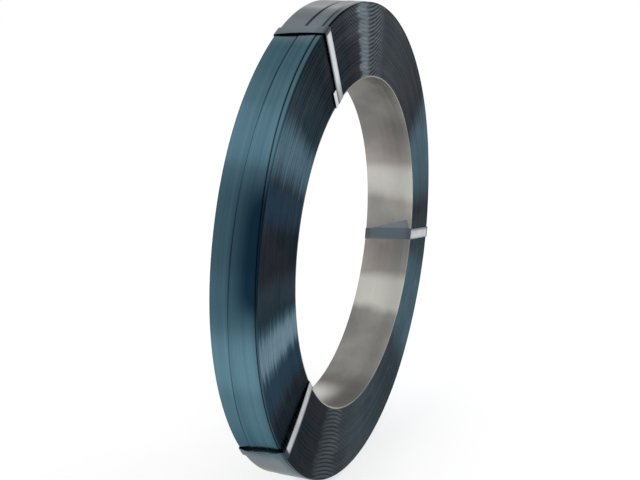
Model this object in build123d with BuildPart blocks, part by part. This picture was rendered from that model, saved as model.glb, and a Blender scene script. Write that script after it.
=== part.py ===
from build123d import *
import math
import os

# A coil of blued steel strapping standing on its rim. The axis is Y, the front face looks along -Y,
# and the origin is the middle of the bore. Angles are counted from the top towards the left of the front.

# bore and sleeve
bore_radius = 203.0
sleeve_wall = 1.5
fit_gap = 0.05

# wound strapping: the ends slope back a little from the bore to the rim
winding_build = 88.0
width_at_bore = 65.0
width_at_rim = 56.5

# turns that show on each end, as bands of strap edges with a groove between them
turn_bands = 10
groove_width = 1.2
groove_depth = 0.7

# outermost turn, which lies proud between the strips of the turn below
lap_step = 0.5
lap_from_front = 6.0
lap_width = 28.0

# ties of flat strap round the section
tie_width = 14.5
tie_thickness = 0.4
tie_bend = 0.5
leg_gap = 0.3

# each tie crosses the bore at its angle, its front end turned towards the top and its rim end leaning away
# from it. It bows off the rim, stands off the front corner and bellies off the front face.
upper_angle = 21.8
upper_turn = 8.5
upper_lean = -0.9
upper_bow = 1.5
upper_corner = 1.0
upper_belly = 0.2
lower_angle = 129.3
lower_turn = 12.0
lower_lean = 0.7
lower_bow = 4.0
lower_corner = 3.0
lower_belly = 1.2
right_angle = 256.7
right_turn = -5.0
right_lean = 0.0
right_bow = 2.5
right_corner = 0.3
right_belly = 0.4

# loose ends of two ties
face_tail_angle = 22.5
face_tail_turn = -2.0
face_tail_length = 19.0
face_tail_in_bore = 40.0
bore_tail_angle = 258.4
bore_tail_turn = -17.4
bore_tail_from_front = 3.0
bore_tail_length = 50.0

winding_inner = bore_radius + sleeve_wall + fit_gap
rim_radius = winding_inner + winding_build
under_radius = rim_radius - lap_step
face_slope = (width_at_bore - width_at_rim) / 2 / winding_build


def face_height(radius):
    """Distance of an end face from the middle plane at this radius."""
    return width_at_bore / 2 - face_slope * (radius - winding_inner)


def radial_plane(angle):
    """Plane through the axis: x runs outwards, y towards the front, z along the rim to the right."""
    turn = math.radians(angle)
    outward = Vector(-math.sin(turn), 0, math.cos(turn))
    return Plane(origin=(0, 0, 0), x_dir=outward, z_dir=outward.cross(Vector(0, -1, 0)))


def end_points(side):
    """Section of one end from the bore to the rim, one band and one groove after another."""
    pitch = winding_build / turn_bands
    points = []
    for band in range(turn_bands):
        start = winding_inner + band * pitch
        crest = start + pitch - groove_width
        sunk = groove_depth if band else 0
        points.append((start, side * (face_height(start) - sunk)))
        points.append((crest, side * face_height(crest)))
    return points


def rim_points():
    """Section of the rim from front to back, with the outermost turn standing proud."""
    edge = face_height(rim_radius) - groove_depth
    lap_front = edge - lap_from_front
    lap_back = lap_front - lap_width
    return [
        (under_radius, edge),
        (under_radius, lap_front),
        (rim_radius, lap_front),
        (rim_radius, lap_back),
        (under_radius, lap_back),
        (under_radius, -edge),
    ]


with BuildPart() as strap_coil:
    with BuildSketch(radial_plane(0)):
        with BuildLine():
            Polyline(*end_points(1), *rim_points(), *end_points(-1)[::-1], close=True)
        make_face()
    revolve(axis=Axis.Y)
strap_coil.part.label = "strap_coil"

with BuildPart() as core_sleeve:
    with BuildSketch(radial_plane(0)):
        with Locations((bore_radius + sleeve_wall / 2, 0)):
            Rectangle(sleeve_wall, width_at_bore)
    revolve(axis=Axis.Y)
core_sleeve.part.label = "core_sleeve"


def strap_reach(turn):
    """How far a strap that crosses the bore askew spreads to each side of its middle."""
    askew = math.radians(abs(turn))
    return tie_width / 2 / math.cos(askew) + width_at_bore / 2 * math.tan(askew)


def flat_seat(turn):
    """Distance from the axis of a flat strap that touches the bore with its corners."""
    return math.sqrt(bore_radius**2 - strap_reach(turn) ** 2) - fit_gap


def strap_slab(angle, turn, lean, radial_span, front_span):
    """Slice as wide as the strap, between two radii and two distances from the middle plane."""
    path = radial_plane(angle)
    path.origin = path.x_dir * bore_radius
    askew = Location((0, 0, 0), (turn, lean, 0))
    with BuildPart() as slab:
        with BuildSketch(Plane(path.location * askew)):
            with Locations((sum(radial_span) / 2 - bore_radius, sum(front_span) / 2)):
                Rectangle(radial_span[1] - radial_span[0], front_span[1] - front_span[0])
        extrude(amount=tie_width / 2, both=True)
    return slab.part


def loop_outline(bore_seat, bow, corner, belly, lift):
    """Closed outline of a strap round the section, this far off its seat."""
    bore_side = bore_seat - lift
    rim_side = rim_radius + leg_gap + lift
    at_bore = face_height(bore_side) + leg_gap + lift
    at_rim = face_height(rim_side) + leg_gap + lift
    at_corner = at_rim + corner
    middle = ((bore_side + rim_side) / 2, (at_bore + at_corner) / 2 + belly)
    with BuildSketch() as outline:
        with BuildLine():
            back_leg = Line((rim_side, -at_rim), (bore_side, -at_bore))
            inner_span = Line(back_leg @ 1, (bore_side, at_bore))
            front_leg = ThreePointArc(inner_span @ 1, middle, (rim_side, at_corner))
            ThreePointArc(front_leg @ 1, (rim_side + bow, 0), back_leg @ 0)
        make_face()
        fillet(outline.vertices(), tie_bend + lift)
    return outline.sketch


def tie_loop(angle, turn, lean, bow, corner, belly):
    """Flat strap laid all the way round the section, touching it at the corners."""
    reach = strap_reach(turn) + abs(math.tan(math.radians(lean))) * winding_build
    whole = (0, 2 * rim_radius)
    across = (-width_at_bore, width_at_bore)
    with BuildPart() as loop:
        with BuildSketch(radial_plane(angle)):
            add(loop_outline(flat_seat(turn), bow, corner, belly, tie_thickness))
            add(loop_outline(flat_seat(turn), bow, corner, belly, 0), mode=Mode.SUBTRACT)
        extrude(amount=reach, both=True)
        add(strap_slab(angle, turn, lean, whole, across), mode=Mode.INTERSECT)
    return loop.part


def strap_tail(angle, turn, face_lift, radial_span, front_span):
    """Loose end of a tie, bent to the bore and turned up on the front face if it reaches that far."""
    sweep_angle = 2 * math.degrees(strap_reach(turn) / bore_radius)
    bore_seat = bore_radius - fit_gap
    front = face_height(bore_radius) + leg_gap + face_lift
    rim_front = face_height(rim_radius) + leg_gap + face_lift
    with BuildPart() as tail:
        with BuildSketch(radial_plane(angle + sweep_angle / 2)) as bent:
            with BuildLine():
                inside = Polyline((bore_seat, -width_at_bore / 2), (bore_seat, front), (rim_radius, rim_front))
                offset(inside, amount=tie_thickness, side=Side.LEFT)
            make_face()
        revolve(axis=Axis.Y, revolution_arc=sweep_angle)
        add(strap_slab(angle, turn, 0, radial_span, front_span), mode=Mode.INTERSECT)
    return tail.part


with BuildPart() as tie_upper:
    add(tie_loop(upper_angle, upper_turn, upper_lean, upper_bow, upper_corner, upper_belly))
    bore_start = width_at_bore / 2 - face_tail_in_bore
    tail_radii = (0, bore_radius + face_tail_length)
    add(strap_tail(face_tail_angle, face_tail_turn, tie_thickness, tail_radii, (bore_start, width_at_bore)))
tie_upper.part.label = "tie_upper"

with BuildPart() as tie_lower:
    add(tie_loop(lower_angle, lower_turn, lower_lean, lower_bow, lower_corner, lower_belly))
tie_lower.part.label = "tie_lower"

with BuildPart() as tie_right:
    add(tie_loop(right_angle, right_turn, right_lean, right_bow, right_corner, right_belly))
    tail_end = width_at_bore / 2 - bore_tail_from_front
    tail_run = (tail_end - bore_tail_length, tail_end)
    add(strap_tail(bore_tail_angle, bore_tail_turn, 0, (0, bore_radius + fit_gap), tail_run))
tie_right.part.label = "tie_right"

os.makedirs("parts", exist_ok=True)
for piece in (strap_coil, core_sleeve, tie_upper, tie_lower, tie_right):
    print(piece.part.label, len(piece.part.solids()), "solids", round(piece.part.volume), "mm3")
    export_step(piece.part, f"parts/{piece.part.label}.step")
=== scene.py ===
import math
import bmesh
import bpy
from mathutils import Matrix, Vector


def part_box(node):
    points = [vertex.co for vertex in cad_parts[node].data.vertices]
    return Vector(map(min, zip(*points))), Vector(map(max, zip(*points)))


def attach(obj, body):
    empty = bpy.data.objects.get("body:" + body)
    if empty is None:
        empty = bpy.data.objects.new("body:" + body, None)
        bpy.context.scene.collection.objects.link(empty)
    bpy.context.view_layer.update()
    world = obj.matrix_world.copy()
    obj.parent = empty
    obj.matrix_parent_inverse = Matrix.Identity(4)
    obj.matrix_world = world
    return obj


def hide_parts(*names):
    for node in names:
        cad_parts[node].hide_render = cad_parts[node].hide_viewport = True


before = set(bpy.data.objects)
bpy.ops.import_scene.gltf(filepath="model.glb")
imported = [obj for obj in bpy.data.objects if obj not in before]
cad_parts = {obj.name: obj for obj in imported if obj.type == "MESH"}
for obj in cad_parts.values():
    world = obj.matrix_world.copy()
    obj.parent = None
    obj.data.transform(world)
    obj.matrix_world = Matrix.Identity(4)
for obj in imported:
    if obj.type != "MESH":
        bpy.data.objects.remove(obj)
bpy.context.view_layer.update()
print("frame loaded:", sorted(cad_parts))

mm = 0.001

# the coil's own sizes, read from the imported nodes; the axis is Y, the front looks along -Y,
# and angles count from the top towards the left of the front
coilLow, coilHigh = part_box("strap_coil")
rimRadius = coilHigh.x
boreHalfWidth = coilHigh.y
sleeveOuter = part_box("core_sleeve")[1].x


def newObject(name, bm, materials):
    mesh = bpy.data.meshes.new(name)
    bmesh.ops.recalc_face_normals(bm, faces=bm.faces[:])
    bm.to_mesh(mesh)
    bm.free()
    for material in materials:
        mesh.materials.append(material)
    piece = bpy.data.objects.new(name, mesh)
    bpy.context.scene.collection.objects.link(piece)
    return piece


# closes a half section and turns it round the axis
def spinSection(bm, verts, segments):
    for first, second in zip(verts, verts[1:] + verts[:1]):
        bm.edges.new((first, second))
    bmesh.ops.spin(
        bm, geom=bm.verts[:] + bm.edges[:], cent=(0, 0, 0), axis=(0, 1, 0),
        angle=2 * math.pi, steps=segments, use_merge=True,
    )


def shadeSmooth(mesh, sharpAngle):
    for polygon in mesh.polygons:
        polygon.use_smooth = True
    mesh.set_sharp_from_angle(angle=math.radians(sharpAngle))


# the wound strapping: groups of turns on both ends, and the outermost turn proud on the rim
winding = {
    "segments": 480,
    "fitGap": 0.05 * mm,
    "widthAtRim": 56.5 * mm,
    "groups": 18,
    "grooveWidth": 1.0 * mm,
    "grooveDepth": 0.3 * mm,
    "dip": 0.12 * mm,  # middle of a group below its edges
    "wander": 0.18 * mm,
    "waves": ((9, 1.9), (-7, 1.3)),  # waves round the coil, and their shift from one group to the next
    "rimHalfWidth": 27.5 * mm,
    "rimCorner": 0.3 * mm,
    "rimSkin": 1.5 * mm,  # faces this near the outside are rim, not end
    "insideBox": 0.02 * mm,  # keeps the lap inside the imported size
    "lapStep": 0.5 * mm,
    "lapEdge": 0.25 * mm,
    "seamWidth": 0.4 * mm,
    "seamDepth": 0.25 * mm,
    "sharpAngle": 32,
}
ringStart = sleeveOuter + winding["fitGap"]
ringPitch = (rimRadius - winding["lapStep"] - sleeveOuter) / winding["groups"]
faceSlope = (2 * boreHalfWidth - winding["widthAtRim"]) / 2 / (rimRadius - sleeveOuter)

# two strap edges drift across the rim, as distances from its front edge; turns are in degrees
drift = {
    "frontMiddle": 5.0 * mm, "frontSwing": 2.9 * mm, "frontTurn": 30, "frontSoftness": 0.1,
    "backMiddle": 31.8 * mm, "backSwing": 8.0 * mm, "backTurn": -65, "backRipple": 1.2 * mm, "ripples": 3,
}
frontEdge, backEdge = 101, 102  # marks on the vertices along the two strap edges


def faceHeight(radius):
    return boreHalfWidth - faceSlope * (radius - sleeveOuter)


def frontSeam(angle):
    swing = math.cos(angle + math.radians(drift["frontTurn"]))
    bend = swing / math.sqrt(swing * swing + drift["frontSoftness"])
    return drift["frontMiddle"] + drift["frontSwing"] * bend


def backSeam(angle):
    swing = math.sin(angle + math.radians(drift["backTurn"]))
    ripple = math.sin(drift["ripples"] * angle)
    return drift["backMiddle"] + drift["backSwing"] * swing + drift["backRipple"] * ripple


# front, rim and back points of the half section as (radius, along, ring)
def windingSection():
    front, back = [], []
    for group in range(winding["groups"]):
        start = ringStart + group * ringPitch
        crest = start + ringPitch - winding["grooveWidth"]
        sunk = winding["grooveDepth"] if group else 0
        for radius, drop in ((start, sunk), ((start + crest) / 2, winding["dip"]), (crest, 0)):
            front.append((radius, -(faceHeight(radius) - drop), group + 1))
            back.append((radius, faceHeight(radius) - drop, group + 1))
    half, corner = winding["rimHalfWidth"], winding["rimCorner"]
    edge, seam = winding["lapEdge"], winding["seamWidth"]
    outside = rimRadius - winding["insideBox"]
    under = rimRadius - winding["lapStep"]
    deep = under - winding["seamDepth"]
    rim = [(under - corner, -half, 0), (under, -half + corner, 0)]
    for ring, middle, before, after in (
        (frontEdge, frontSeam(0) - half, under, outside),
        (backEdge, backSeam(0) - half, outside, under),
    ):
        rim += [
            (before, middle - seam - edge, ring), (deep, middle - seam, ring),
            (deep, middle, ring), (after, middle + edge, ring),
        ]
    rim += [(under, half - corner, 0), (under - corner, half, 0)]
    return front + rim + back[::-1]


def buildWinding(materials):
    bm = bmesh.new()
    ringLayer = bm.verts.layers.int.new("ring")
    verts = []
    for radius, along, ring in windingSection():
        vert = bm.verts.new((0, along, radius))
        vert[ringLayer] = ring
        verts.append(vert)
    spinSection(bm, verts, winding["segments"])
    for vert in bm.verts:
        ring = vert[ringLayer]
        angle = math.atan2(-vert.co.x, vert.co.z)
        if ring == frontEdge:
            vert.co.y += frontSeam(angle) - frontSeam(0)
        elif ring == backEdge:
            vert.co.y += backSeam(angle) - backSeam(0)
        elif ring:
            side = 1 if vert.co.y > 0 else -1
            wave = sum(math.sin(count * angle + shift * ring) for count, shift in winding["waves"])
            vert.co.y -= side * winding["wander"] * (1 + wave / 2)
    piece = newObject("coilWinding", bm, materials)
    for polygon in piece.data.polygons:
        outside = polygon.center.xz.length > rimRadius - winding["rimSkin"]
        polygon.material_index = 1 if outside and abs(polygon.center.y) < winding["rimHalfWidth"] else 0
    shadeSmooth(piece.data, winding["sharpAngle"])
    return piece


# the bare lining of the bore, rounded a little at its inner edges
sleeve = {"segments": 360, "inner": 203.0 * mm, "edge": 0.35 * mm, "edgeShare": 0.3, "sharpAngle": 50}


def buildSleeve(material):
    bm = bmesh.new()
    inner, outer, half, edge = sleeve["inner"], sleeveOuter, boreHalfWidth, sleeve["edge"]
    cut = sleeve["edgeShare"] * edge
    section = [
        (inner + edge, -half), (outer, -half), (outer, half), (inner + edge, half),
        (inner + cut, half - cut), (inner, half - edge), (inner, edge - half), (inner + cut, cut - half),
    ]
    verts = [bm.verts.new((0, along, radius)) for radius, along in section]
    spinSection(bm, verts, sleeve["segments"])
    piece = newObject("coreSleeve", bm, [material])
    shadeSmooth(piece.data, sleeve["sharpAngle"])
    return piece


def newMaterial(name):
    material = bpy.data.materials.new(name)
    material.use_nodes = True
    material.node_tree.nodes.clear()
    return material, material.node_tree


def mathNode(tree, operation, first, second=None, third=None):
    node = tree.nodes.new("ShaderNodeMath")
    node.operation = operation
    for socket, value in zip(node.inputs, (first, second, third)):
        if value is None:
            continue
        if isinstance(value, (int, float)):
            socket.default_value = value
        else:
            tree.links.new(value, socket)
    return node.outputs[0]


def mixColour(tree, factor, first, second):
    node = tree.nodes.new("ShaderNodeMix")
    node.data_type = "RGBA"
    for socket, value in ((node.inputs[0], factor), (node.inputs[6], first), (node.inputs[7], second)):
        if isinstance(value, tuple):
            socket.default_value = (*value, 1)
        elif isinstance(value, (int, float)):
            socket.default_value = value
        else:
            tree.links.new(value, socket)
    return node.outputs[2]


# stops are the start and the end of the ramp, and its values there
def rampNode(tree, value, stops):
    node = tree.nodes.new("ShaderNodeMapRange")
    node.interpolation_type = "SMOOTHSTEP"
    tree.links.new(value, node.inputs[0])
    for socket, number in zip(node.inputs[1:5], stops):
        socket.default_value = number
    return node.outputs[0]


def angleRamp(tree, angle, start, end, before, after):
    return rampNode(tree, angle, (math.radians(start), math.radians(end), before, after))


noiseRange = (0.3, 0.7)  # most of a noise texture's values lie in here
rollMarkLook = {"stretch": 0.006, "detail": 4, "roughness": 0.6}


# turns the place on the coil into its radius, its distance along the axis and its angle from the top
def makeCoilPlaces():
    group = bpy.data.node_groups.new("coilPlaces", "ShaderNodeTree")
    for name, kind in (("Radius", "Float"), ("Across", "Float"), ("Angle", "Float"), ("Streak", "Vector")):
        group.interface.new_socket(name=name, in_out="OUTPUT", socket_type="NodeSocket" + kind)
    nodes, links = group.nodes, group.links
    place = nodes.new("ShaderNodeTexCoord")
    split = nodes.new("ShaderNodeSeparateXYZ")
    links.new(place.outputs["Object"], split.inputs[0])
    x, y, z = split.outputs
    squares = mathNode(group, "ADD", mathNode(group, "MULTIPLY", x, x), mathNode(group, "MULTIPLY", z, z))
    radius = mathNode(group, "SQRT", squares)
    angle = mathNode(group, "ARCTAN2", mathNode(group, "MULTIPLY", x, -1.0), z)
    streak = nodes.new("ShaderNodeCombineXYZ")
    sideways = mathNode(group, "MULTIPLY", x, rollMarkLook["stretch"])
    links.new(mathNode(group, "ADD", sideways, y), streak.inputs[0])
    links.new(radius, streak.inputs[1])
    links.new(mathNode(group, "MULTIPLY", z, rollMarkLook["stretch"]), streak.inputs[2])
    end = nodes.new("NodeGroupOutput")
    for socket, value in zip(end.inputs, (radius, y, angle, streak.outputs[0])):
        links.new(value, socket)
    return group


# lengthwise rolling marks: noise drawn out along the strap
def makeRollMarks():
    group = bpy.data.node_groups.new("rollMarks", "ShaderNodeTree")
    group.interface.new_socket(name="Streak", in_out="INPUT", socket_type="NodeSocketVector")
    group.interface.new_socket(name="Fineness", in_out="INPUT", socket_type="NodeSocketFloat")
    group.interface.new_socket(name="Marks", in_out="OUTPUT", socket_type="NodeSocketFloat")
    nodes, links = group.nodes, group.links
    start = nodes.new("NodeGroupInput")
    noise = nodes.new("ShaderNodeTexNoise")
    noise.inputs["Detail"].default_value = rollMarkLook["detail"]
    noise.inputs["Roughness"].default_value = rollMarkLook["roughness"]
    links.new(start.outputs["Streak"], noise.inputs["Vector"])
    links.new(start.outputs["Fineness"], noise.inputs["Scale"])
    end = nodes.new("NodeGroupOutput")
    links.new(noise.outputs[0], end.inputs[0])
    return group


# a group of plain numbers in and one number out
def newMaskGroup(name, inputs, output):
    group = bpy.data.node_groups.new(name, "ShaderNodeTree")
    for label in inputs:
        group.interface.new_socket(name=label, in_out="INPUT", socket_type="NodeSocketFloat")
    group.interface.new_socket(name=output, in_out="OUTPUT", socket_type="NodeSocketFloat")
    start = group.nodes.new("NodeGroupInput")
    end = group.nodes.new("NodeGroupOutput")
    return group, start.outputs, end.inputs[0]


# a soft band across the coil round one angle
def makeSoftBand():
    group, (angle, centre, reach, _), result = newMaskGroup("softBand", ("Angle", "Centre", "Reach"), "Band")
    nearness = mathNode(group, "COSINE", mathNode(group, "SUBTRACT", angle, centre))
    band = group.nodes.new("ShaderNodeMapRange")
    band.interpolation_type = "SMOOTHSTEP"
    group.links.new(nearness, band.inputs[0])
    group.links.new(mathNode(group, "COSINE", reach), band.inputs[1])
    band.inputs[2].default_value = 1.0
    group.links.new(band.outputs[0], result)
    return group


# where a place lies between two grooves, from 0 to 1
def ringPhase(tree, radius):
    fromStart = mathNode(tree, "SUBTRACT", radius, ringStart)
    return mathNode(tree, "FRACT", mathNode(tree, "DIVIDE", fromStart, ringPitch))


arcLine = (0.12, 0.3, 1.0, 0.0)  # dark up to 0.12 pitches from a ring's middle, gone at 0.3


# painted shade: thin dark rings that curl outwards on both sides of one angle
def makeRingArcs():
    group, sockets, result = newMaskGroup("ringArcs", ("Radius", "Angle", "Centre", "Curl"), "Lines")
    radius, angle, centre, curl, _ = sockets
    nearness = mathNode(group, "COSINE", mathNode(group, "SUBTRACT", angle, centre))
    lift = mathNode(group, "MULTIPLY", mathNode(group, "SUBTRACT", 1.0, nearness), curl)
    phase = ringPhase(group, mathNode(group, "SUBTRACT", radius, lift))
    offset = mathNode(group, "ABSOLUTE", mathNode(group, "SUBTRACT", phase, 0.5))
    group.links.new(rampNode(group, offset, arcLine), result)
    return group


# how the painted shade along the seams looks: the tops are narrowing and depth at the top of the coil, the
# turns and fades where they change, in degrees
seamShadeLook = {
    "line": (0.5 * mm, 1.7 * mm, 1.0, 0.0), "rimEdgeShade": (0.8 * mm, 2.8 * mm, 1.3, 0.0),
    "frontTop": (1.0, 0.45), "backTop": (0.55, 1.0), "narrowTurn": (18, 30), "depthTurn": (12, 30),
    "fadeCount": 9, "fadeFrom": 36, "fadeIn": (30, 45), "fadeOut": (150, 170), "fade": 0.36,
}


# painted shade: dark lines along the two strap edges that show on the rim, and along its front edge
def makePaintedSeamShade():
    group, (angle, across, _), result = newMaskGroup("paintedSeamShade", ("Angle", "Across"), "Lines")
    fromFront = mathNode(group, "ADD", across, winding["rimHalfWidth"])

    swing = mathNode(group, "COSINE", mathNode(group, "ADD", angle, math.radians(drift["frontTurn"])))
    root = mathNode(group, "SQRT", mathNode(group, "MULTIPLY_ADD", swing, swing, drift["frontSoftness"]))
    bend = mathNode(group, "DIVIDE", swing, root)
    front = mathNode(group, "MULTIPLY_ADD", bend, drift["frontSwing"], drift["frontMiddle"])

    swing = mathNode(group, "SINE", mathNode(group, "ADD", angle, math.radians(drift["backTurn"])))
    swing = mathNode(group, "MULTIPLY_ADD", swing, drift["backSwing"], drift["backMiddle"])
    ripple = mathNode(group, "SINE", mathNode(group, "MULTIPLY", angle, drift["ripples"]))
    back = mathNode(group, "MULTIPLY_ADD", ripple, drift["backRipple"], swing)

    # the rear line comes and goes down the side of the coil
    shift = -seamShadeLook["fadeCount"] * math.radians(seamShadeLook["fadeFrom"])
    beat = mathNode(group, "COSINE", mathNode(group, "MULTIPLY_ADD", angle, seamShadeLook["fadeCount"], shift))
    fadeIn = angleRamp(group, angle, *seamShadeLook["fadeIn"], 0.0, seamShadeLook["fade"])
    fading = mathNode(group, "MULTIPLY", fadeIn, angleRamp(group, angle, *seamShadeLook["fadeOut"], 1.0, 0.0))
    presence = mathNode(group, "MULTIPLY_ADD", mathNode(group, "SUBTRACT", beat, 1.0), fading, 1.0)

    lines = []
    for path, atTop, seen in ((front, seamShadeLook["frontTop"], 1.0), (back, seamShadeLook["backTop"], presence)):
        narrowing = angleRamp(group, angle, *seamShadeLook["narrowTurn"], atTop[0], 1.0)
        depth = angleRamp(group, angle, *seamShadeLook["depthTurn"], atTop[1], 1.0)
        distance = mathNode(group, "ABSOLUTE", mathNode(group, "SUBTRACT", fromFront, path))
        line = rampNode(group, mathNode(group, "MULTIPLY", distance, narrowing), seamShadeLook["line"])
        lines.append(mathNode(group, "MULTIPLY", mathNode(group, "MULTIPLY", line, depth), seen))
    # painted shade along the front edge of the rim
    edge = rampNode(group, fromFront, seamShadeLook["rimEdgeShade"])
    group.links.new(mathNode(group, "MAXIMUM", mathNode(group, "MAXIMUM", *lines), edge), result)
    return group


coilPlaces = makeCoilPlaces()
rollMarks = makeRollMarks()
softBand = makeSoftBand()
ringArcs = makeRingArcs()
paintedSeamShade = makePaintedSeamShade()


def placeGroup(tree, group):
    node = tree.nodes.new("ShaderNodeGroup")
    node.node_tree = group
    return node


def marksFrom(tree, places, fineness):
    node = placeGroup(tree, rollMarks)
    tree.links.new(places.outputs["Streak"], node.inputs["Streak"])
    node.inputs["Fineness"].default_value = fineness
    return node.outputs[0]


# sum of bands given as (centre, reach, strength), the angles in degrees
def sumOfBands(tree, angle, bands, level=0.0):
    total = level
    for centre, reach, strength in bands:
        node = placeGroup(tree, softBand)
        tree.links.new(angle, node.inputs["Angle"])
        node.inputs["Centre"].default_value = math.radians(centre)
        node.inputs["Reach"].default_value = math.radians(reach)
        total = mathNode(tree, "MULTIPLY_ADD", node.outputs[0], strength, total)
    return total


def arcsRound(tree, radius, angle, centre, curl):
    node = placeGroup(tree, ringArcs)
    tree.links.new(radius, node.inputs["Radius"])
    tree.links.new(angle, node.inputs["Angle"])
    node.inputs["Centre"].default_value = math.radians(centre)
    node.inputs["Curl"].default_value = curl
    return node.outputs[0]


def softNoise(tree, scale, detail):
    place = tree.nodes.new("ShaderNodeTexCoord")
    noise = tree.nodes.new("ShaderNodeTexNoise")
    noise.inputs["Scale"].default_value = scale
    noise.inputs["Detail"].default_value = detail
    tree.links.new(place.outputs["Object"], noise.inputs["Vector"])
    return noise.outputs[0]


# an angle shifted a little by a noise, which frays the edges of the bands
def wobbledAngle(tree, noise, wobble, angle):
    return mathNode(tree, "MULTIPLY_ADD", mathNode(tree, "SUBTRACT", noise, 0.5), wobble, angle)


# bare metal in this colour, its roughness drifting with a noise between the two values of its look
def addMetal(tree, colour, noise, look):
    shader = tree.nodes.new("ShaderNodeBsdfPrincipled")
    tree.links.new(colour, shader.inputs["Base Color"])
    tree.links.new(rampNode(tree, noise, (*noiseRange, *look["roughness"])), shader.inputs["Roughness"])
    shader.inputs["Metallic"].default_value = 1.0
    shader.inputs["Specular Tint"].default_value = (*[look["edgeTint"]] * 3, 1)
    output = tree.nodes.new("ShaderNodeOutputMaterial")
    tree.links.new(shader.outputs[0], output.inputs[0])
    return shader


# the tangent along the turns, turned a quarter so that highlights run across the grooves
def addBrushing(tree, shader, amount):
    tangent = tree.nodes.new("ShaderNodeTangent")
    tangent.direction_type = "RADIAL"
    tangent.axis = "Y"
    tree.links.new(tangent.outputs[0], shader.inputs["Tangent"])
    shader.inputs["Anisotropic"].default_value = amount
    shader.inputs["Anisotropic Rotation"].default_value = 0.25


def addBump(tree, shader, height, strength, distance):
    bump = tree.nodes.new("ShaderNodeBump")
    bump.inputs["Strength"].default_value = strength
    bump.inputs["Distance"].default_value = distance
    tree.links.new(height, bump.inputs["Height"])
    tree.links.new(bump.outputs[0], shader.inputs["Normal"])


# the ends of the coil: edges of blued strap, nearly black, with painted highlight streaks and painted dark
# reflections round the coil
faceLook = {
    "fineMarks": 1400, "broadMarks": 260, "blotches": 22, "blotchDetail": 3, "wobble": 0.16,
    "grain": (0.35, 0.65, 0.75, 1.25), "blotchGrain": (*noiseRange, 0.85, 1.15),
    "deep": (0.010, 0.015, 0.020), "tint": (0.020, 0.018, 0.025), "tintFrom": (0.45, 0.62, 0.0, 1.0),
    "pale": (0.078, 0.150, 0.195), "level": 0.05,
    # the pale, grey and sheen bands are painted highlights, and the navy bands are painted dark reflections
    "bands": (
        (45, 16, 0.16), (53, 9, 0.6), (62, 12, 0.08), (90, 9, 0.16), (99.5, 8, 0.85), (109, 10, 0.14),
        (180, 26, 0.12), (205, 40, 0.16), (234, 20, 0.66), (250, 16, 0.2), (283, 18, 0.68),
    ),
    "sheen": (0.21, 0.32, 0.39), "sheenBands": ((99.8, 5.6, 0.75), (52.5, 5, 0.15)),
    "navy": (0.012, 0.042, 0.085), "navyBands": ((109, 8, 0.6), (66, 6, 0.45)),
    "grey": (0.135, 0.165, 0.19),
    "greyBands": ((156, 9, 0.5), (170, 20, 0.2), (357.2, 4.6, 0.85), (349, 9, 0.44), (332, 20, 0.08)),
    # a painted grey glint near the rim at the top
    "glintBands": ((4, 8, 0.22),), "glintFrom": (244 * mm, 266 * mm, 0.0, 1.0),
    # painted shade in the grooves and along the arcs, each arc seen only through its windows of angle
    "groove": (0.72, 0.9, 0.0, 1.0), "grooveShade": 0.14, "shade": (0.004, 0.005, 0.007),
    "arcs": (
        (354, 0.985, ((348, 7.5, 0.95), (357, 5, 0.25), (7, 6.5, 0.9))),
        (156, 0.62, ((156, 8, 0.75), (167, 9, 0.4))),
    ),
    "turnPitch": 0.8 * mm, "turnHeight": 0.5,
    "dotPitch": 3.1 * mm, "dotCount": 460, "dotHeight": 0.4,
    "dots": ((140, 13, 0.6), (8, 9, 0.35), (340, 12, 0.3)), "dotLevel": 0.08,
    "edgeTint": 0.5, "roughness": (0.3, 0.45), "brushing": 0.75, "bump": 0.25, "bumpDepth": 0.1 * mm,
}


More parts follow.
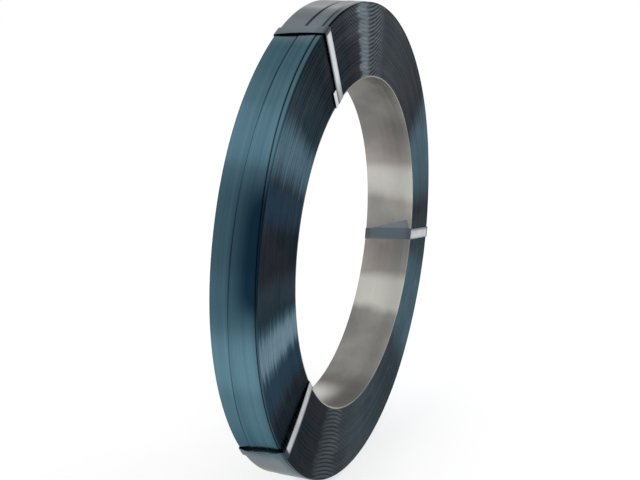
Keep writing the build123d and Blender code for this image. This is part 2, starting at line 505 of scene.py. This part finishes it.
def makeFaceMaterial():
    look = faceLook
    material, tree = newMaterial("strapEdges")
    places = placeGroup(tree, coilPlaces)
    radius, angle = places.outputs["Radius"], places.outputs["Angle"]
    fine = marksFrom(tree, places, look["fineMarks"])
    broad = marksFrom(tree, places, look["broadMarks"])
    blotches = softNoise(tree, look["blotches"], look["blotchDetail"])
    wobbled = wobbledAngle(tree, broad, look["wobble"], angle)

    # single turns, and dots where two spirals cross
    turns = mathNode(tree, "SINE", mathNode(tree, "MULTIPLY", radius, 2 * math.pi / look["turnPitch"]))
    spiral = mathNode(tree, "MULTIPLY", radius, 2 * math.pi / look["dotPitch"])
    leftHand = mathNode(tree, "SINE", mathNode(tree, "MULTIPLY_ADD", angle, look["dotCount"], spiral))
    rightHand = mathNode(tree, "SINE", mathNode(tree, "MULTIPLY_ADD", angle, -look["dotCount"], spiral))
    lattice = mathNode(tree, "MULTIPLY", leftHand, rightHand)
    dots = mathNode(tree, "MULTIPLY", lattice, sumOfBands(tree, angle, look["dots"], look["dotLevel"]))
    grain = mathNode(tree, "ADD", rampNode(tree, fine, look["grain"]), dots)
    grain = mathNode(tree, "MULTIPLY", grain, rampNode(tree, blotches, look["blotchGrain"]))

    # painted light and dark streaks: pale, grey and sheen highlights, a painted glint near the rim at the
    # top, and navy painted reflections
    paintedGlint = sumOfBands(tree, angle, look["glintBands"])
    paintedGlint = mathNode(tree, "MULTIPLY", paintedGlint, rampNode(tree, radius, look["glintFrom"]))
    layers = (
        ("pale", sumOfBands(tree, wobbled, look["bands"], look["level"])),
        ("grey", mathNode(tree, "ADD", sumOfBands(tree, wobbled, look["greyBands"]), paintedGlint)),
        ("sheen", sumOfBands(tree, wobbled, look["sheenBands"])),
    )
    colour = mixColour(tree, rampNode(tree, blotches, look["tintFrom"]), look["deep"], look["tint"])
    colour = mixColour(tree, sumOfBands(tree, wobbled, look["navyBands"]), colour, look["navy"])
    for name, amount in layers:
        colour = mixColour(tree, mathNode(tree, "MULTIPLY", amount, grain), colour, look[name])

    # painted shade in the grooves between the groups, and painted dark rings at the top and the bottom
    groove = rampNode(tree, ringPhase(tree, radius), look["groove"])
    shade = mathNode(tree, "MULTIPLY", groove, look["grooveShade"])
    for centre, curl, windows in look["arcs"]:
        lines = arcsRound(tree, radius, angle, centre, curl)
        seen = sumOfBands(tree, angle, windows)
        shade = mathNode(tree, "MAXIMUM", shade, mathNode(tree, "MULTIPLY", lines, seen))
    colour = mixColour(tree, shade, colour, look["shade"])

    shader = addMetal(tree, colour, broad, look)
    addBrushing(tree, shader, look["brushing"])
    turnHeight = mathNode(tree, "MULTIPLY", turns, look["turnHeight"])
    height = mathNode(tree, "ADD", turnHeight, mathNode(tree, "MULTIPLY", lattice, look["dotHeight"]))
    addBump(tree, shader, height, look["bump"], look["bumpDepth"])
    return material


# the rim: deep blue to pale teal as painted reflections, a painted dark patch near the front edge and
# painted grey highlights at the top; the patch turns are in degrees
rimLook = {
    "fineMarks": 900, "broadMarks": 140, "wear": (*noiseRange, 0.84, 1.16),
    "deep": (0.007, 0.026, 0.046), "pale": (0.115, 0.225, 0.28), "level": 0.37,
    "bands": (
        (50, 16, 0.26), (33, 15, 0.22), (101, 9, 0.25), (112, 25, 0.36),
        (146, 17, 0.42), (215, 24, 0.35), (300, 26, 0.4),
    ),
    "patchStart": (53, 71), "patchEnd": (84, 95), "patchFade": (-24 * mm, 18 * mm, -0.44, 0.06),
    "grey": (0.82, 0.83, 0.84), "greyStart": (7 * mm, 13 * mm, 0.6, 1.0),
    "greyBands": ((-2, 12, 0.95), (3, 11, 0.22), (12, 16, 0.29), (141, 15, 0.38), (154, 11, 0.22)),
    "shade": (0.004, 0.006, 0.009), "shadeLevel": 0.45,
    "shadeBands": ((8, 16, 0.45), (34, 18, 0.22), (150, 26, -0.27)),
    "edgeTint": 0.4, "roughness": (0.16, 0.3), "brushing": 0.5, "bump": 0.12, "bumpDepth": 0.1 * mm,
}


# the blued rim with painted reflections in bands round the coil, a painted dark patch near the front edge
# and painted grey highlights
def bluedColourAndReflections(tree, places, marks):
    look = rimLook
    across, angle = places.outputs["Across"], places.outputs["Angle"]
    tone = sumOfBands(tree, angle, look["bands"], look["level"])
    patchStart = angleRamp(tree, angle, *look["patchStart"], 0.0, 1.0)
    patch = mathNode(tree, "MULTIPLY", patchStart, angleRamp(tree, angle, *look["patchEnd"], 1.0, 0.0))
    tone = mathNode(tree, "MULTIPLY_ADD", patch, rampNode(tree, across, look["patchFade"]), tone)
    paintedLightAndWear = mathNode(tree, "MULTIPLY", tone, rampNode(tree, marks, look["wear"]))
    colour = mixColour(tree, paintedLightAndWear, look["deep"], look["pale"])
    # painted grey highlights, strongest at the top of the coil and away from its front edge
    fromFront = mathNode(tree, "ADD", across, winding["rimHalfWidth"])
    greyness = sumOfBands(tree, angle, look["greyBands"])
    greyness = mathNode(tree, "MULTIPLY", greyness, rampNode(tree, fromFront, look["greyStart"]))
    return mixColour(tree, greyness, colour, look["grey"])


def makeBluedMaterial():
    look = rimLook
    material, tree = newMaterial("bluedStrap")
    places = placeGroup(tree, coilPlaces)
    fine = marksFrom(tree, places, look["fineMarks"])
    broad = marksFrom(tree, places, look["broadMarks"])
    seams = placeGroup(tree, paintedSeamShade)
    for name in ("Angle", "Across"):
        tree.links.new(places.outputs[name], seams.inputs[name])
    # painted shade along the seams and the front edge, deepest at the top of the coil
    depth = sumOfBands(tree, places.outputs["Angle"], look["shadeBands"], look["shadeLevel"])
    shade = mathNode(tree, "MULTIPLY", seams.outputs[0], depth)
    colour = mixColour(tree, shade, bluedColourAndReflections(tree, places, broad), look["shade"])
    shader = addMetal(tree, colour, fine, look)
    addBrushing(tree, shader, look["brushing"])
    addBump(tree, shader, fine, look["bump"], look["bumpDepth"])
    return material


# the sleeve in the bore: bare grey steel with painted highlight bands, two of them broad, painted light near
# its front end and a painted highlight low at its back
boreLook = {
    "fineMarks": 700, "clouds": 14, "cloudDetail": 4, "wobble": 0.14,
    "deep": (0.18, 0.172, 0.165), "warm": (0.20, 0.168, 0.165), "warmSpots": 9, "warmDetail": 2,
    "warmFrom": (0.5, 0.62, 0.0, 1.0), "pale": (0.60, 0.60, 0.555), "level": 0.18,
    "bands": (
        (233, 9, 0.78), (236, 16, 0.2), (278, 8.5, 0.52), (272, 20, 0.16),
        (288, 12, 0.1), (205, 24, 0.1), (80, 24, 0.4), (140, 26, 0.5),
    ),
    "patches": (0.32, 0.7, -0.12, 0.16), "frontLift": (-30 * mm, -16 * mm, 0.09, 0.0),
    "grain": (*noiseRange, -0.5, 0.5), "grainDepth": 0.09,
    "bright": (0.92, 0.92, 0.88), "backHighlight": ((170, 17, 0.88),), "backFrom": (-14 * mm, 20 * mm, 0.0, 1.0),
    "edgeTint": 0.6, "roughness": (0.38, 0.5), "bump": 0.08, "bumpDepth": 0.1 * mm,
}


def makeSleeveMaterial():
    look = boreLook
    material, tree = newMaterial("bareSteel")
    places = placeGroup(tree, coilPlaces)
    across, angle = places.outputs["Across"], places.outputs["Angle"]
    fine = marksFrom(tree, places, look["fineMarks"])
    cloud = softNoise(tree, look["clouds"], look["cloudDetail"])
    wobbled = wobbledAngle(tree, cloud, look["wobble"], angle)
    # painted highlight bands round the bore
    tone = sumOfBands(tree, wobbled, look["bands"], look["level"])
    tone = mathNode(tree, "ADD", tone, rampNode(tree, cloud, look["patches"]))
    # painted light near the front end of the bore
    tone = mathNode(tree, "ADD", tone, rampNode(tree, across, look["frontLift"]))
    tone = mathNode(tree, "MULTIPLY_ADD", rampNode(tree, fine, look["grain"]), look["grainDepth"], tone)
    warmth = rampNode(tree, softNoise(tree, look["warmSpots"], look["warmDetail"]), look["warmFrom"])
    colour = mixColour(tree, warmth, look["deep"], look["warm"])
    colour = mixColour(tree, tone, colour, look["pale"])
    # a painted highlight low at the back of the bore
    glow = sumOfBands(tree, wobbled, look["backHighlight"])
    glow = mathNode(tree, "MULTIPLY", glow, rampNode(tree, across, look["backFrom"]))
    shader = addMetal(tree, mixColour(tree, glow, colour, look["bright"]), fine, look)
    addBump(tree, shader, fine, look["bump"], look["bumpDepth"])
    return material


# the ties: the legs are bright between two shares of the half width, with painted shade on the edges outside
# them, and the starts of the blued parts are distances from the outsides of the rim and the sleeve
tieLook = {
    "halfWidth": 7.25 * mm, "clouds": 60, "cloudDetail": 4,
    "legs": (0.66, 0.68, 0.70), "wear": (*noiseRange, 0.8, 1.08), "shade": (0.05, 0.06, 0.07),
    "leftShade": 0.85, "leftBright": 0.3, "rightShade": 0.5, "rightBright": 0.6,
    "tailGap": (1.5 * mm, 0.5 * mm), "boreShadeReach": 32 * mm,
    "rimStart": (-6.0 * mm, -2.5 * mm), "boreStart": (-2.2 * mm, -1.2 * mm),
    "rimGrey": (0.2, 0.21, 0.215), "rimGreyness": 0.15,
    # painted shade at the front corner, where the tie bends over the rim
    "corner": (0.02, 0.022, 0.03), "cornerShadeFrom": (-30 * mm, -23 * mm, 0.75, 0.0),
    "bore": (0.125, 0.155, 0.18),
    "boreEnds": (0.05, 0.05, 0.075), "boreEndsFrom": (20 * mm, 32 * mm, 0.0, 0.45),
    "edgeTint": 0.55, "roughness": (0.3, 0.45), "bump": 0.1, "bumpDepth": 0.2 * mm,
}

# each tie as it lies: its angle, turn and lean in degrees, and how much painted shade darkens its front leg
# at the bore
tiePaths = {
    "tie_upper": {"angle": 21.8, "turn": 8.5, "lean": -0.9, "boreShadeDepth": 0.5},
    "tie_lower": {"angle": 129.3, "turn": 12.0, "lean": 0.7, "boreShadeDepth": 0.15},
    "tie_right": {"angle": 256.7, "turn": -5.0, "lean": 0.0, "boreShadeDepth": 0.0},
}


# how far a place lies from the middle line of a tie
def acrossTie(tree, path):
    angle, turn, lean = (math.radians(path[name]) for name in ("angle", "turn", "lean"))
    outward = Vector((-math.sin(angle), 0, math.cos(angle)))
    front = Vector((0, -1, 0))
    sideways = outward.cross(front)
    normal = outward * math.sin(lean) - front * math.sin(turn) * math.cos(lean)
    normal += sideways * math.cos(turn) * math.cos(lean)
    place = tree.nodes.new("ShaderNodeTexCoord")
    product = tree.nodes.new("ShaderNodeVectorMath")
    product.operation = "DOT_PRODUCT"
    tree.links.new(place.outputs["Object"], product.inputs[0])
    product.inputs[1].default_value = normal
    return mathNode(tree, "SUBTRACT", product.outputs["Value"], math.sin(lean) * sleeve["inner"])


# a tie is blued over the rim with painted reflections, bright on the ends of the coil with painted shade on
# its edges and towards the bore, and dull blue in the bore
def makeTieMaterial(name, path):
    look = tieLook
    material, tree = newMaterial(name)
    places = placeGroup(tree, coilPlaces)
    radius, across = places.outputs["Radius"], places.outputs["Across"]
    cloud = softNoise(tree, look["clouds"], look["cloudDetail"])
    sideways = acrossTie(tree, path)
    half = look["halfWidth"]

    # the leg itself, not the loose end beside it
    onLeg = rampNode(tree, sideways, (*(-half - gap for gap in look["tailGap"]), 0.0, 1.0))
    # painted shade darkening the leg towards the bore
    paintedBoreShade = rampNode(tree, radius, (sleeveOuter, sleeveOuter + look["boreShadeReach"], -path["boreShadeDepth"], 0.0))
    paintedLightAndWear = mathNode(tree, "MULTIPLY_ADD", paintedBoreShade, onLeg, 1.0)
    paintedLightAndWear = mathNode(tree, "MULTIPLY", rampNode(tree, cloud, look["wear"]), paintedLightAndWear)
    legs = mixColour(tree, paintedLightAndWear, (0, 0, 0), look["legs"])
    # painted shade on both edges of the leg
    leftEdge = rampNode(tree, sideways, (-half, -look["leftBright"] * half, look["leftShade"], 0.0))
    leftEdge = mathNode(tree, "MULTIPLY", leftEdge, onLeg)
    rightEdge = rampNode(tree, sideways, (look["rightBright"] * half, half, 0.0, look["rightShade"]))
    legs = mixColour(tree, mathNode(tree, "MAXIMUM", leftEdge, rightEdge), legs, look["shade"])

    # the rim's blued colour with its painted reflections, and painted shade at the front corner
    overRim = mixColour(tree, look["rimGreyness"], bluedColourAndReflections(tree, places, cloud), look["rimGrey"])
    overRim = mixColour(tree, rampNode(tree, across, look["cornerShadeFrom"]), overRim, look["corner"])
    onRim = rampNode(tree, radius, (*(rimRadius + start for start in look["rimStart"]), 0.0, 1.0))
    boreEnds = rampNode(tree, mathNode(tree, "ABSOLUTE", across), look["boreEndsFrom"])
    inside = mixColour(tree, boreEnds, look["bore"], look["boreEnds"])
    inBore = rampNode(tree, radius, (*(sleeveOuter + start for start in look["boreStart"]), 1.0, 0.0))
    colour = mixColour(tree, inBore, mixColour(tree, onRim, legs, overRim), inside)

    shader = addMetal(tree, colour, cloud, look)
    addBump(tree, shader, cloud, look["bump"], look["bumpDepth"])
    return material


faceMaterial = makeFaceMaterial()
bluedMaterial = makeBluedMaterial()
sleeveMaterial = makeSleeveMaterial()

coilWinding = buildWinding([faceMaterial, bluedMaterial])
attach(coilWinding, "root")
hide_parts("strap_coil")
print("winding built:", len(coilWinding.data.polygons), "faces")

coreSleeve = buildSleeve(sleeveMaterial)
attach(coreSleeve, "root")
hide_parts("core_sleeve")
print("sleeve built")

for node, path in tiePaths.items():
    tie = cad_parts[node]
    tie.data.materials.clear()
    tie.data.materials.append(makeTieMaterial(node.replace("_", "") + "Strap", path))
print("ties finished")

# the stage: a pale floor and white surroundings, which light less than they show
stage = {"size": 14.0, "floor": (0.86, 0.86, 0.87), "glow": 0.62, "worldWhite": 1.0, "worldFill": 0.55}
lamps = {
    "sideWindow": {"place": (1.25, -0.50, 0.12), "size": (0.35, 0.80), "power": 0.9},
    "frontSoftbox": {"place": (-0.33, -2.0, 0.86), "size": (0.7, 0.7), "power": 3.5},
    "leftSoftbox": {"place": (-0.96, 0.72, 1.6), "size": (0.8, 0.8), "power": 1.0},
}


# 1 for what the camera sees directly, mirrored or through glass, 0 for the light that falls on things
def seenWhite(tree):
    path = tree.nodes.new("ShaderNodeLightPath")
    seen = mathNode(tree, "MAXIMUM", path.outputs["Is Camera Ray"], path.outputs["Is Glossy Ray"])
    return mathNode(tree, "MAXIMUM", seen, path.outputs["Is Transmission Ray"])


def buildFloor():
    bm = bmesh.new()
    bmesh.ops.create_grid(bm, x_segments=1, y_segments=1, size=stage["size"] / 2)
    bmesh.ops.translate(bm, verts=bm.verts[:], vec=(0, 0, coilLow.z))
    material, tree = newMaterial("floorPaint")
    nodes, links = tree.nodes, tree.links
    paint = nodes.new("ShaderNodeBsdfDiffuse")
    paint.inputs[0].default_value = (*stage["floor"], 1)
    glow = nodes.new("ShaderNodeEmission")
    glow.inputs["Strength"].default_value = stage["glow"]
    lit = nodes.new("ShaderNodeAddShader")
    links.new(paint.outputs[0], lit.inputs[0])
    links.new(glow.outputs[0], lit.inputs[1])
    mix = nodes.new("ShaderNodeMixShader")
    links.new(seenWhite(tree), mix.inputs[0])
    links.new(paint.outputs[0], mix.inputs[1])
    links.new(lit.outputs[0], mix.inputs[2])
    output = nodes.new("ShaderNodeOutputMaterial")
    links.new(mix.outputs[0], output.inputs[0])
    floor = newObject("floor", bm, [material])


def buildWorld():
    world = bpy.data.worlds.new("studio")
    bpy.context.scene.world = world
    world.use_nodes = True
    tree = world.node_tree
    tree.nodes.clear()
    mix = tree.nodes.new("ShaderNodeMixShader")
    tree.links.new(seenWhite(tree), mix.inputs[0])
    for socket, strength in ((mix.inputs[1], stage["worldFill"]), (mix.inputs[2], stage["worldWhite"])):
        sky = tree.nodes.new("ShaderNodeBackground")
        sky.inputs["Strength"].default_value = strength
        tree.links.new(sky.outputs[0], socket)
    output = tree.nodes.new("ShaderNodeOutputWorld")
    tree.links.new(mix.outputs[0], output.inputs[0])


# every lamp looks at the middle of the bore
def addLamp(name, place, size, power):
    light = bpy.data.lights.new(name, "AREA")
    light.shape = "RECTANGLE"
    light.size, light.size_y = size
    light.energy = power
    lamp = bpy.data.objects.new(name, light)
    lamp.location = place
    lamp.rotation_euler = (-Vector(place)).to_track_quat("-Z", "Y").to_euler()
    bpy.context.scene.collection.objects.link(lamp)


buildFloor()
buildWorld()
for name, lamp in lamps.items():
    addLamp(name, **lamp)
print("stage built")

# the camera that the photo's ellipses give; right, up and away are in radii of the rim
view = {
    "azimuth": -67.93, "elevation": 17.1, "right": 0.06768, "up": 0.0008, "away": 5.46949,
    "focalPixels": 1291.98, "pictureWidth": 640, "sensor": 36.0,
}


def buildCamera():
    azimuth, elevation = math.radians(view["azimuth"]), math.radians(view["elevation"])
    toCamera = Vector((
        math.sin(azimuth) * math.cos(elevation),
        -math.cos(azimuth) * math.cos(elevation),
        math.sin(elevation),
    ))
    right = Vector((math.cos(azimuth), math.sin(azimuth), 0))
    up = toCamera.cross(right)
    place = (toCamera * view["away"] - right * view["right"] + up * view["up"]) * rimRadius
    data = bpy.data.cameras.new("photoCamera")
    data.sensor_fit = "HORIZONTAL"
    data.sensor_width = view["sensor"]
    data.lens = view["focalPixels"] * view["sensor"] / view["pictureWidth"]
    camera = bpy.data.objects.new("photoCamera", data)
    turn = Matrix((right, up, toCamera)).transposed().to_4x4()
    camera.matrix_world = Matrix.Translation(place) @ turn
    bpy.context.scene.collection.objects.link(camera)
    bpy.context.scene.camera = camera


buildCamera()
bpy.context.scene.view_settings.view_transform = "Standard"
print("camera placed")
